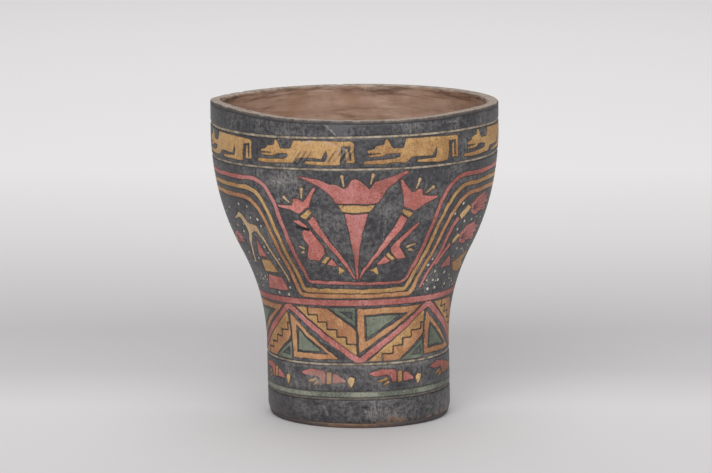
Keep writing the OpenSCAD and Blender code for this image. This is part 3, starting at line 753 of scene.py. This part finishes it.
@dataclass(frozen=True)
class AgedWood(Finish):
    """Hardwood of the carved cup, bare inside and on the lip, oiled and darkened by drink.

    It gives the eye a reddish brown with level tool marks inside, a greyer lip with a pale worn
    crest that carries a painted highlight on its outer edge, black rubbed into the lip's outside and
    the foot's edge, and dull pale incised rings, the lowest darkened by painted shade.
    """

    slot: str = "bare_wood"
    name: str = "aged_hardwood_hand_carved"
    inner: str = "#9d7b64"
    inner_light: str = "#b59786"
    inner_dark: str = "#71533f"
    lip: str = "#a49385"
    lip_dark: str = "#81736a"
    # Pale crest of the lip: worn wood and the chip, with a painted highlight along the outer edge
    crest_wear_and_highlight: str = "#bfa892"
    ring: str = "#b3a592"
    ring_dark: str = "#75695c"
    soot: str = "#454244"
    base: str = "#8f715a"
    stain: str = "#523a2b"
    fleck: str = "#c9b39a"
    grain_mm: float = 2.6
    patch_mm: float = 26.0
    rag_mm: float = 5.0
    speck_mm: float = 1.3
    # Heights between which a stain, painted shade in the lowest ring and bare foot wood begin and are full
    stain_mm: Pair = (178.5, 184.0)
    low_ring_shade_mm: Pair = (30.0, 20.0)
    foot_mm: Pair = (6.0, 5.0)
    roughness: Pair = (0.55, 0.8)

    def paint(self, tree: Tree, here: Socket) -> Feeds:
        """Paints hollow, outside and lip, and joins them. Args and Returns are those of Finish."""
        level = add(tree, "Mapping", {"Vector": here, "Scale": (0.12, 0.12, 1)})
        grain, patch, rag, speck = (
            add(tree, "TexNoise", {"Vector": at, "Scale": 1 / (mm * MM), "Detail": detail,
                                   "Roughness": rough})
            for at, mm, detail, rough in ((level, self.grain_mm, 5.0, 0.65), (here, self.patch_mm, 4.0, 0.6),
                                          (here, self.rag_mm, 5.0, 0.7), (here, self.speck_mm, 2.0, 0.5)))
        within, on_lip, on_crest, black = (add(tree, "Attribute", out="Fac", attribute_name=key)
                                           for key in ("inside", "lip", "crest_wear_and_highlight", "soot"))
        high = add(tree, "SeparateXYZ", {0: here}, 2)
        start, full = (height * MM for height in self.stain_mm)
        drunk = add(tree, "MapRange", {0: high, 1: start, 2: full, 4: 0.9})
        hollow = lay(tree, self.inner, (
            (patch, 0.38, 0.66, 1.0, self.inner_light), (grain, 0.5, 0.74, 0.8, self.inner_dark),
            (grain, 0.4, 0.62, drunk, self.stain)))
        foot = lay(tree, self.base, ((rag, 0.42, 0.6, 1.0, self.inner_dark),))
        top = lay(tree, self.lip, ((rag, 0.42, 0.6, 1.0, self.lip_dark),))
        # Pale worn crest and chip, with a painted highlight along the lip's outer edge
        pale = add(tree, "Math", {0: on_crest, 1: 0.7}, operation="MULTIPLY")
        colour = lay(tree, self.ring, (
            (rag, 0.42, 0.6, 1.0, self.ring_dark),
            # Painted shade: the soot colour darkens the groove of the lowest ring, under the green ring
            (high, self.low_ring_shade_mm[0] * MM, self.low_ring_shade_mm[1] * MM, 0.75, self.soot),
            (high, self.foot_mm[0] * MM, self.foot_mm[1] * MM, 1.0, foot),
            (rag, 0.74, 0.62, black, self.soot), (within, 0.0, 1.0, 1.0, hollow),
            (on_lip, 0.0, 1.0, 1.0, top), (rag, 0.4, 0.6, pale, self.crest_wear_and_highlight),
            (speck, 0.73, 0.78, 0.8, self.fleck)))
        smooth, matt = self.roughness
        rough = add(tree, "MapRange", {0: grain, 1: 0.3, 2: 0.7, 3: smooth, 4: matt})
        bump = add(tree, "Bump", {"Height": grain, "Strength": 0.4, "Distance": 0.4 * MM})
        return {"Base Color": colour, "Roughness": rough, "Normal": bump}


@dataclass(frozen=True)
class MendFiller(Finish):
    """Clay and resin pressed into a break in the rim long ago.

    It gives the eye a matt dark grey with small pits.
    """

    slot: str = "mend_filler"
    name: str = "clay_and_resin_fill"
    body: str = "#4c4b4d"
    pale: str = "#6b6a6d"
    grit_mm: float = 1.4
    roughness: float = 0.85

    def paint(self, tree: Tree, here: Socket) -> Feeds:
        """Mottles the grey with grit. Args and Returns are those of Finish."""
        grit = add(tree, "TexNoise", {"Vector": here, "Scale": 1 / (self.grit_mm * MM), "Detail": 4.0,
                                      "Roughness": 0.7})
        bump = add(tree, "Bump", {"Height": grit, "Strength": 0.5, "Distance": 0.3 * MM})
        return {"Base Color": lay(tree, self.body, ((grit, 0.0, 1.0, 1.0, self.pale),)),
                "Roughness": self.roughness, "Normal": bump}


@dataclass(frozen=True)
class PaperSweep(Finish):
    """Matt studio paper: a pale grey with painted light and shade that change with the distance behind the
    cup.
    """

    name: str = "paper_sweep"
    # Distance behind the cup in mm, and the grey there. The greys are painted light and shade: lighter in
    # front of the foot against its shadow, a shaded band a little behind the cup, lighter far back
    painted_light_greys: tuple[tuple[float, str], ...] = (
        (-400, "#cccacb"), (-90, "#d9d7d8"), (15, "#dddbdc"), (130, "#cccacb"), (270, "#c8c6c7"),
        (665, "#e6e4e4"), (1030, "#f7f5f5"))
    roughness: float = 0.9
    gloss: float = 0.1

    def paint(self, tree: Tree, here: Socket) -> Feeds:
        """Lays each grey over the one before it. Args and Returns are those of Finish."""
        back = add(tree, "SeparateXYZ", {0: here}, 1)
        # The greys lay painted light and shade on the paper, by distance behind the cup
        coats = [(back, near * MM, far * MM, 1.0, grey)
                 for (near, _), (far, grey) in zip(self.painted_light_greys, self.painted_light_greys[1:])]
        return {"Base Color": lay(tree, self.painted_light_greys[0][1], coats), "Roughness": self.roughness,
                "Specular IOR Level": self.gloss}


def make_object(name: str, points: Array, faces: Array, values: dict[str, Array],
                sharp: Array | None = None) -> Object:
    """Puts arrays into a mesh and a new object at the origin.

    Args:
        name: Name of the object.
        points: Points in metres.
        faces: Triangles or quads, one row each.
        values: Point attributes by name.
        sharp: Pairs of points whose edge stays sharp.

    Returns:
        The object, linked to the scene.
    """
    mesh = bpy.data.meshes.new(name)
    width = faces.shape[1]
    mesh.vertices.add(len(points))
    mesh.vertices.foreach_set("co", points.astype(np.float32).ravel())
    mesh.loops.add(faces.size)
    mesh.loops.foreach_set("vertex_index", faces.astype(np.int32).ravel())
    mesh.polygons.add(len(faces))
    mesh.polygons.foreach_set("loop_start", np.arange(0, faces.size, width, dtype=np.int32))
    mesh.update(calc_edges=True)
    mesh.polygons.foreach_set("use_smooth", np.ones(len(faces), bool))
    for key, value in values.items():
        mesh.attributes.new(key, "FLOAT", "POINT").data.foreach_set("value", value.astype(np.float32))
    if sharp is not None:
        ends = np.empty(len(mesh.edges) * 2, np.int32)
        mesh.edges.foreach_get("vertices", ends)
        code = np.sort(ends.reshape(-1, 2).astype(np.int64), 1) @ [len(points), 1]
        wanted = np.sort(sharp.astype(np.int64), 1) @ [len(points), 1]
        flag = mesh.attributes.new("sharp_edge", "BOOLEAN", "EDGE")
        flag.data.foreach_set("value", np.isin(code, wanted))
    mesh.validate()
    made = bpy.data.objects.new(name, mesh)
    bpy.context.scene.collection.objects.link(made)
    return made


def dress(piece: Object, node: str, finish: Finish) -> Object:
    """Gives a piece its finish and its place in the frame.

    Args:
        piece: The new piece.
        node: The solid that it stands for.
        finish: What it is made of.

    Returns:
        The piece.
    """
    piece.data.materials.append(finish.material())
    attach(piece, "root")
    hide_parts(node)
    LOG.info("%s: %d faces, %s", piece.name, len(piece.data.polygons), finish.slot)
    return piece


@dataclass(frozen=True, kw_only=True)
class InlaidBand(WallGrid):
    """One band of the outermost layer: its lacquer ground and the pieces set in it."""

    hand: HandWork
    wear: Wear
    pieces: tuple[tuple[str, Finish], ...]
    grow: float = 0.3
    line_depth: float = 0.25
    line_width: float = 0.7
    gouge_depth: float = 0.5
    # Lines that the hand drew wider than their strips: from what height, and by how much on each side
    broad: tuple[tuple[str, float, float], ...] = (
        ("red_meander", 89.0, 0.45), ("zigzag", 30.0, 0.5), ("garden_stems", 70.0, 0.4))
    broad_climb: float = 8.0
    # Round heads of the stamens of the great flower and the lilies: azimuth in degrees and height
    heads: Rows = (
        (-5.3, 152.2), (7.1, 153.4), (26.2, 149.4), (33.3, 144.4), (-30.4, 138.4), (-22.3, 143.9))
    head_r: float = 1.4
    # Small dots strewn in the gardens besides the solids' own: number, radius, seed and room round figures
    strewn: tuple[int, float, int, float] = (170, 0.95, 21, 0.5)
    # Where they lie: azimuths in degrees, then start above the band's edge, height, and crowding low down
    garden: Pair = (38.0, 142.0)
    garden_up: Triple = (2.0, 52.0, 1.7)
    # Shortest length of the change of shade, and what is added to it: azimuth and half width, amount,
    # height where it starts and climb over which it grows, downwards where that is negative
    batch: float = 45.0
    fading: Rows = (
        (0.0, math.inf, -0.5, 80, -6), (-0.4, 0.45, -1.0, 155, 3), (0.3, 0.3, 0.8, 38, -4),
        (-0.35, 0.3, -1.4, 38, -4))

    def build(self) -> list[Object]:
        """Cuts every piece of the band and dresses it.

        Pieces that grow past their outline give way to the other inlays, and the grounds to them.

        Returns:
            The pieces.
        """
        depth = {node: self.inside(node) for node, _ in self.pieces}
        grounds = [node for node in depth if node.endswith("_ground")]
        if "seed_dots" in depth:
            depth["seed_dots"] = np.maximum(depth["seed_dots"], self.scatter(depth["garden_ground"]))
        widened = ("stamens", "seed_dots", *(name for name, _, _ in self.broad))
        for wide in [node for node in depth if node in widened]:
            for node in [node for node in depth if node != wide and node not in grounds]:
                depth[wide] = np.minimum(depth[wide], -depth[node])
            for node in grounds:
                depth[node] = np.minimum(depth[node], -depth[wide])
        return [dress(self.piece(node, depth[node]), node, finish) for node, finish in self.pieces]

    def inside(self, node: str) -> Array:
        """Distance inside one piece at every grid point.

        Inlaid pieces are cut a hair wide and the ground as much narrower, because the dark line
        between them hides their edges. Some lines are wider still, and stamens get their round heads.

        Args:
            node: The solid whose outline is cut.

        Returns:
            Distances in rows and columns, negative outside.
        """
        z = np.linspace(self.low, self.high, self.rows)[:, None]
        grow = -self.grow if node.endswith("_ground") else self.grow
        for name, height, extra in self.broad:
            if node == name:
                grow = grow + extra * smoothstep((z - height) / self.broad_climb)
        depth = self.distance(self.outline(node), self.hand, grow)
        if node != "stamens":
            return depth
        front = np.array(self.heads) * [math.pi / 180, 1]
        spots = self.hand.knife(np.concatenate([front, front + [math.pi, 0]]), self.low, self.high)
        return np.maximum(depth, self.rounds(spots, self.head_r))

    def scatter(self, ground: Array) -> Array:
        """Strews small dots over the gardens, closer together low down, and keeps them off the figures.

        Args:
            ground: Distance inside the gardens' ground.

        Returns:
            Distance inside the dots at every grid point.
        """
        count, radius, seed, room = self.strewn
        start, tall, crowding = self.garden_up
        rng = np.random.default_rng(seed)
        az = np.radians(rng.uniform(*self.garden, count)) * rng.choice([-1, 1], count)
        z = self.low + start + tall * rng.random(count) ** crowding
        return np.minimum(self.rounds(np.stack([az, z], 1), radius), ground - room)

    def rounds(self, spots: Array, radius: float) -> Array:
        """Distance inside round spots at every grid point.

        Args:
            spots: Rows of azimuth and height.
            radius: Radius of each spot.

        Returns:
            Distances in rows and columns, negative outside.
        """
        az = np.linspace(-math.pi, math.pi, self.cols, endpoint=False)
        z = np.linspace(self.low, self.high, self.rows)[:, None]
        r = self.form.radius(z)
        gap = np.full((self.rows, self.cols), np.inf)
        for spot_az, spot_z in spots:
            gap = np.minimum(gap, np.hypot(wrapped(az - spot_az) * r, z - spot_z))
        return radius - gap

    def piece(self, node: str, depth: Array) -> Object:
        """Makes one closed piece: the outer face, the same face one coat deeper, and the sides.

        The outer face sinks towards its outline in a smooth step, so that two neighbours make the
        incised line between them.

        Args:
            node: The solid whose outline is cut.
            depth: Distance inside the outline at every grid point.

        Returns:
            The new object.
        """
        az, z, edge, tri = self.carve(depth)
        tone = self.wear.tone(az, z)
        sunk = self.line_depth * (1 - smoothstep(edge / self.line_width))
        sunk = sunk + self.gouge_depth * np.maximum(-tone, 0)
        outer = self.hand.place(az, z, self.form.radius(z, sunk))
        inner = self.hand.place(az, z, self.form.radius(z, self.form.coat))
        n = len(az)
        sides = tri[:, [[0, 1], [1, 2], [2, 0]]].reshape(-1, 2).astype(np.int64)
        there, back = sides @ [n, 1], sides[:, ::-1] @ [n, 1]
        rim = sides[~np.isin(there, back)]
        a, b = rim[:, 0], rim[:, 1]
        faces = np.concatenate([tri, tri[:, ::-1] + n, np.stack([a, a + n, b + n], 1),
                                np.stack([a, b + n, b], 1)])
        shade = self.hand.waves(az, z, self.batch, Salt.BATCH)
        for at, half, amount, start, climb in self.fading:
            shade = shade + amount * hump(az, at, half) * smoothstep((z - start) / climb)
        values = {"edge": np.append(edge, edge * 0), "tone": np.tile(tone, 2), "shade": np.tile(shade, 2)}
        return make_object(node + "_piece", np.concatenate([outer, inner]), faces, values,
                           np.concatenate([rim, rim + n]))


@dataclass
class WoodenCup:
    """The carved cup: foot, wall under the ground, incised rings, lip, hollow and floor."""

    form: CupForm
    hand: HandWork
    finish: AgedWood
    cols: int = 420
    # Lower and upper edges of the incised rings, worn a little wider than they were cut
    rings: Rows = (
        (16.75, 18.25), (37.25, 38.75), (155.75, 157.25), (174.75, 176.25))
    ring_depth: float = 0.4
    # Depth of the wood under the ground, and height of the bare edge of the foot
    under: float = 0.85
    bare_foot: float = 3.0
    # Heights of the section's rows: evenly up the wall and down the hollow, across a ring from its
    # lower edge, and beside the steps at foot and lip
    wall_rows: Triple = (4.0, 183.0, 3.0)
    hollow_pitch: float = 1.8
    ring_rows: tuple[float, ...] = (-0.03, 0.18, 0.75, 1.32, 1.53)
    step_rows: tuple[float, ...] = (2.2, 2.9, 3.05, 182.95, 183.0, 184.1)
    # Rows across a rounded edge, across the flat of foot and floor, and on the lip's flat top
    bow_rows: int = 7
    flat_rows: int = 7
    top_rows: int = 4
    # Radius of the innermost rows of foot and floor
    pole_r: float = 3.0
    # Pale crest of the lip, worn wood with a painted highlight on its outer edge: place from the outer
    # face, half width, and how far below the top it goes
    crest_wear_and_highlight: Triple = (0.5, 0.4, 1.2)
    # Widths over which hollow and lip fade, and the lip's start from both faces in shares of its width
    lip_fade: Pair = (1.6, 0.8)
    lip_start: Pair = (0.3, 0.6)
    # Black at the bare edge of the foot: its share, and how far it passes that edge
    foot_soot: Pair = (0.95, 0.1)
    # Tool marks: depth, upright pitch, how far they wave, share of the rough ones, shortest lengths of both
    tool_mark: float = 0.22
    tool_pitch: float = 8.0
    tool_sway: float = 2.5
    tool_rough: float = 1.5
    tool_waves: Pair = (45.0, 16.0)
    # Sharp corner inside the lip: azimuth, half width, depth, and heights from none to full
    corner: Triple = (-1.68, 0.15, 1.6)
    corner_z: Pair = (150.0, 180.0)
    # Pale chip on the lip's inner edge: azimuth and half width, height and half height, depth, paleness
    chip: Pair = (3.04, 0.05)
    chip_z: Pair = (183.6, 1.5)
    chip_depth: float = 0.7
    chip_pale: float = 2.0
    # Notches in the lip: shortest length of their waves, how much of the waves cuts, depth
    notch: Triple = (9.0, 0.7, 0.8)
    # Place on the foot's front where little black is left: azimuth, half width, and share lost
    rubbed_foot: Triple = (-0.1, 0.4, 0.75)

    def section(self) -> tuple[Array, Array, dict[str, Array]]:
        """Half section from the foot's middle out, up, over the lip and down to the floor's middle.

        Returns:
            Radius, height, and how far each row is inside, on the lip, on its worn crest with a painted
            highlight, and blackened.
        """
        f = self.form
        bow = np.linspace(0, math.pi / 2, self.bow_rows)
        flat, top = self.flat_rows, self.top_rows
        edges = np.array(self.rings)
        z_out = np.unique(np.concatenate([np.arange(*self.wall_rows), self.step_rows,
                                          (edges[:, :1] + np.array(self.ring_rows)).ravel()]))
        ring = ((z_out[:, None] > edges[:, 0]) & (z_out[:, None] < edges[:, 1])).any(1)
        bare = (z_out < self.bare_foot) | (z_out >= f.height - f.lip_round)
        r_out = f.radius(z_out, np.where(bare, 0.0, np.where(ring, self.ring_depth, self.under)))
        z_in = np.arange(f.height - f.lip_round, f.floor + f.floor_round, -self.hollow_pitch)[1:]
        foot_r, floor_r = f.foot_r - f.foot_round, f.foot_r - f.wall - f.floor_round
        hollow_r, top_r = f.mouth_r - f.wall, f.mouth_r - f.crest_round
        parts = (
            (np.linspace(self.pole_r, foot_r, flat + 1)[:-1], np.zeros(flat)),
            (foot_r + f.foot_round * np.sin(bow), f.foot_round * (1 - np.cos(bow))),
            (r_out, z_out),
            (top_r + f.crest_round * np.cos(bow[1:]), f.height - f.crest_round * (1 - np.sin(bow[1:]))),
            (np.linspace(top_r, hollow_r + f.lip_round, top + 2)[1:-1], np.full(top, f.height)),
            (hollow_r + f.lip_round * (1 - np.sin(bow)), f.height - f.lip_round * (1 - np.cos(bow))),
            (f.radius(z_in, f.wall), z_in),
            (floor_r + f.floor_round * np.cos(bow), f.floor + f.floor_round * (1 - np.sin(bow))),
            (np.linspace(floor_r, self.pole_r, flat + 1)[1:], np.full(flat, f.floor)))
        r, z = (np.concatenate(column) for column in zip(*parts))
        order = np.arange(len(r))
        hair = 0.01
        crown = int(np.argmax(z > f.height - hair))
        high = z > f.height - f.lip_round - hair
        gap_out, gap_in = f.mouth_r - r, r - hollow_r
        at, half, down = self.crest_wear_and_highlight
        (inward, edge), (outer, inner) = self.lip_fade, self.lip_start
        black, past = self.foot_soot
        # The crest mark is a pale worn line with a painted highlight along the lip's outer edge
        marks = {"inside": np.where(high, smoothstep(1 - gap_in / inward), 1.0) * (order > crown),
                 "lip": high * smoothstep(gap_out / edge - outer) * smoothstep(gap_in / edge - inner),
                 "crest_wear_and_highlight": high * hump(gap_out, at, half) * (z > f.height - down) * (order <= crown + top),
                 "soot": np.where(high, 1.0, black * (z < self.bare_foot + past)) * (order <= crown)}
        return r, z, {key: value.astype(float) for key, value in marks.items()}

    def build(self) -> Object:
        """Turns the section round the axis, with tool marks inside and small chips on the lip.

        Returns:
            The dressed cup.
        """
        r, z, marks = self.section()
        within, lip = marks["inside"][:, None], np.maximum(marks["lip"], marks["crest_wear_and_highlight"])[:, None]
        rows, cols = len(r), self.cols
        az = np.broadcast_to(np.linspace(-math.pi, math.pi, cols, endpoint=False), (rows, cols))
        z = np.broadcast_to(z[:, None], (rows, cols))
        long, short = (self.hand.waves(az, z, length, salt)
                       for length, salt in zip(self.tool_waves, (Salt.TOOL, Salt.ADZE)))
        mark = np.sin(TURN * z / self.tool_pitch + self.tool_sway * long) + self.tool_rough * short
        at, half, deep = self.corner
        start, full = self.corner_z
        cusp = deep * np.exp(-np.abs(az - at) / half) * smoothstep((z - start) / (full - start))
        r = r[:, None] + within * (self.tool_mark * mark + cusp)
        chip = hump(az, *self.chip) * hump(z, *self.chip_z) * (within > 0)
        length, spared, cut = self.notch
        notch = np.maximum(self.hand.waves(az, z * 0, length, Salt.NOTCH) - spared, 0)
        z = z - cut * notch * lip - self.chip_depth * chip
        poles = self.hand.place(np.zeros(2), np.array([0.0, self.form.floor]), np.zeros(2))
        points = np.concatenate([self.hand.place(az, z, r).reshape(-1, 3), poles])
        corner = cells(rows, cols)
        first = np.arange(cols)
        after = (first + 1) % cols
        top = (rows - 1) * cols
        pole = np.full(cols, rows * cols)
        faces = np.concatenate([np.stack(corner[:3], -1).reshape(-1, 3),
                                np.stack([corner[0], corner[2], corner[3]], -1).reshape(-1, 3),
                                np.stack([pole, after, first], 1),
                                np.stack([top + first, top + after, pole + 1], 1)])
        values = {key: np.append(np.repeat(row, cols), row[[0, -1]]) for key, row in marks.items()}
        at, half, lost = self.rubbed_foot
        values["crest_wear_and_highlight"][:-2] += self.chip_pale * chip.ravel()
        values["soot"][:-2] -= (lost * hump(az, at, half) * (z < self.form.turn_z)).ravel()
        return dress(make_object("wooden_cup", points, faces, values), "wooden_body", self.finish)


@dataclass
class Studio:
    """Pale sweep, soft light and the camera at the photograph's angle."""

    paper: PaperSweep = PaperSweep()
    floor_half_m: float = 9.0
    sky: float = 0.33
    # Each lamp: name, place and size in metres, and watts
    lamps: tuple[tuple[str, Triple, float, float], ...] = (
        ("key", (-0.6, -2.1, 1.6), 1.5, 31), ("fill", (0.8, -2.0, 1.0), 1.4, 15),
        ("top", (0.1, 0.1, 2.0), 1.4, 8), ("back", (0.0, 2.2, 2.2), 2.4, 24))
    aim_m: float = 0.09
    camera_mm: Triple = (-2.1, -2312.0, 470.0)
    pitch_deg: float = 8.97
    lens: float = 200.0
    sensor: float = 36.0
    far_m: float = 50.0

    def build(self) -> None:
        """Makes the floor, the world, the lamps and the camera."""
        self.sweep()
        self.light()
        self.camera()

    def sweep(self) -> None:
        """Lays the floor: one level square of paper."""
        h = self.floor_half_m
        points = np.array([[-h, -h, 0], [h, -h, 0], [h, h, 0], [-h, h, 0]], float)
        floor = make_object("studio_floor", points, np.array([[0, 1, 2, 3]]), {})
        floor.data.materials.append(self.paper.material())

    def light(self) -> None:
        """Lights the cup softly. Lamps in front aim at its middle, and those behind at the paper."""
        world = bpy.data.worlds.new("studio")
        bpy.context.scene.world = world
        world.use_nodes = True
        sky = world.node_tree.nodes["Background"].inputs
        sky["Color"].default_value = (1, 1, 1, 1)
        sky["Strength"].default_value = self.sky
        for name, place, size, watts in self.lamps:
            lamp = bpy.data.lights.new(name, "AREA")
            lamp.size = size
            lamp.energy = watts
            made = bpy.data.objects.new(name, lamp)
            made.location = place
            x, y, z = np.array([0, max(0.0, place[1]), self.aim_m]) - np.array(place)
            made.rotation_euler = (math.atan2(math.hypot(x, y), -z), 0, math.atan2(y, x) - math.pi / 2)
            bpy.context.scene.collection.objects.link(made)

    def camera(self) -> None:
        """Sets the camera where the photograph was taken from."""
        data = bpy.data.cameras.new("camera")
        data.lens = self.lens
        data.sensor_width = self.sensor
        data.sensor_fit = "HORIZONTAL"
        data.clip_end = self.far_m
        made = bpy.data.objects.new("camera", data)
        made.location = tuple(v * MM for v in self.camera_mm)
        made.rotation_euler = (math.radians(90 - self.pitch_deg), 0, 0)
        bpy.context.scene.collection.objects.link(made)
        bpy.context.scene.camera = made


def main() -> None:
    """Builds the studio, the cup and its bands."""
    logging.basicConfig(level=logging.INFO, format="%(message)s")
    bpy.context.scene.view_settings.view_transform = "Standard"
    form = CupForm()
    hand = HandWork(form)
    wear = Wear(form)
    ground = BlackLacquer()
    yellow, straw, orange, red, rose, green, tan, white = (InlayResin(pigment) for pigment in (
        Pigment.YELLOW, Pigment.STRAW, Pigment.ORANGE, Pigment.RED, Pigment.ROSE, Pigment.GREEN, Pigment.TAN,
        Pigment.WHITE))
    cream, moss = (InlayResin(pigment, line_mm=0.9) for pigment in (Pigment.CREAM, Pigment.MOSS))
    Studio().build()
    WoodenCup(form, hand, AgedWood()).build()
    bands = (
        (176.25, 183, (("rim_ground", ground), ("rim_mend", MendFiller()))),
        (157.25, 174.75, (("feline_ground", ground), ("felines", yellow))),
        (77, 155.75, (
            ("flower_ground", ground), ("stripe_ground", ground), ("garden_ground", ground),
            ("red_meander", red), ("yellow_meander", yellow), ("orange_meander", orange),
            ("great_corollas", red), ("great_collars", yellow), ("great_tubes", red),
            ("lily_corollas", rose), ("lily_collars", straw), ("lily_tubes", rose),
            ("hooked_bells", rose), ("bell_collars", straw), ("bell_bodies", rose), ("bell_tails", straw),
            ("stamens", cream), ("herons", tan),
            ("garden_stems", red), ("garden_collars", straw), ("garden_petals", red),
            ("garden_thorns", red), ("garden_birds", yellow),
            ("hanging_tubes", red), ("hanging_collars", yellow), ("hanging_corollas", red),
            ("seed_dots", white))),
        (73, 77, (("red_ring", red),)),
        (38.75, 73, (
            ("fret_ground", ground), ("zigzag", red), ("triangle_frames", orange),
            ("triangle_hearts", green), ("yellow_stairs", yellow), ("orange_stairs", orange),
            ("corner_frames", green))),
        (22, 37.25, (
            ("bud_ground", ground), ("bud_bells", red), ("bud_stamens", yellow), ("bud_collars", yellow),
            ("bud_bodies", red), ("bud_tails", straw))),
        (18.25, 22, (("green_ring", moss),)),
        (3, 16.75, (("foot_ground", ground),)),
    )
    for low, high, pieces in bands:
        InlaidBand(form, low, high, hand=hand, wear=wear, pieces=pieces).build()
    bpy.context.view_layer.update()


if __name__ == "__main__":
    main()
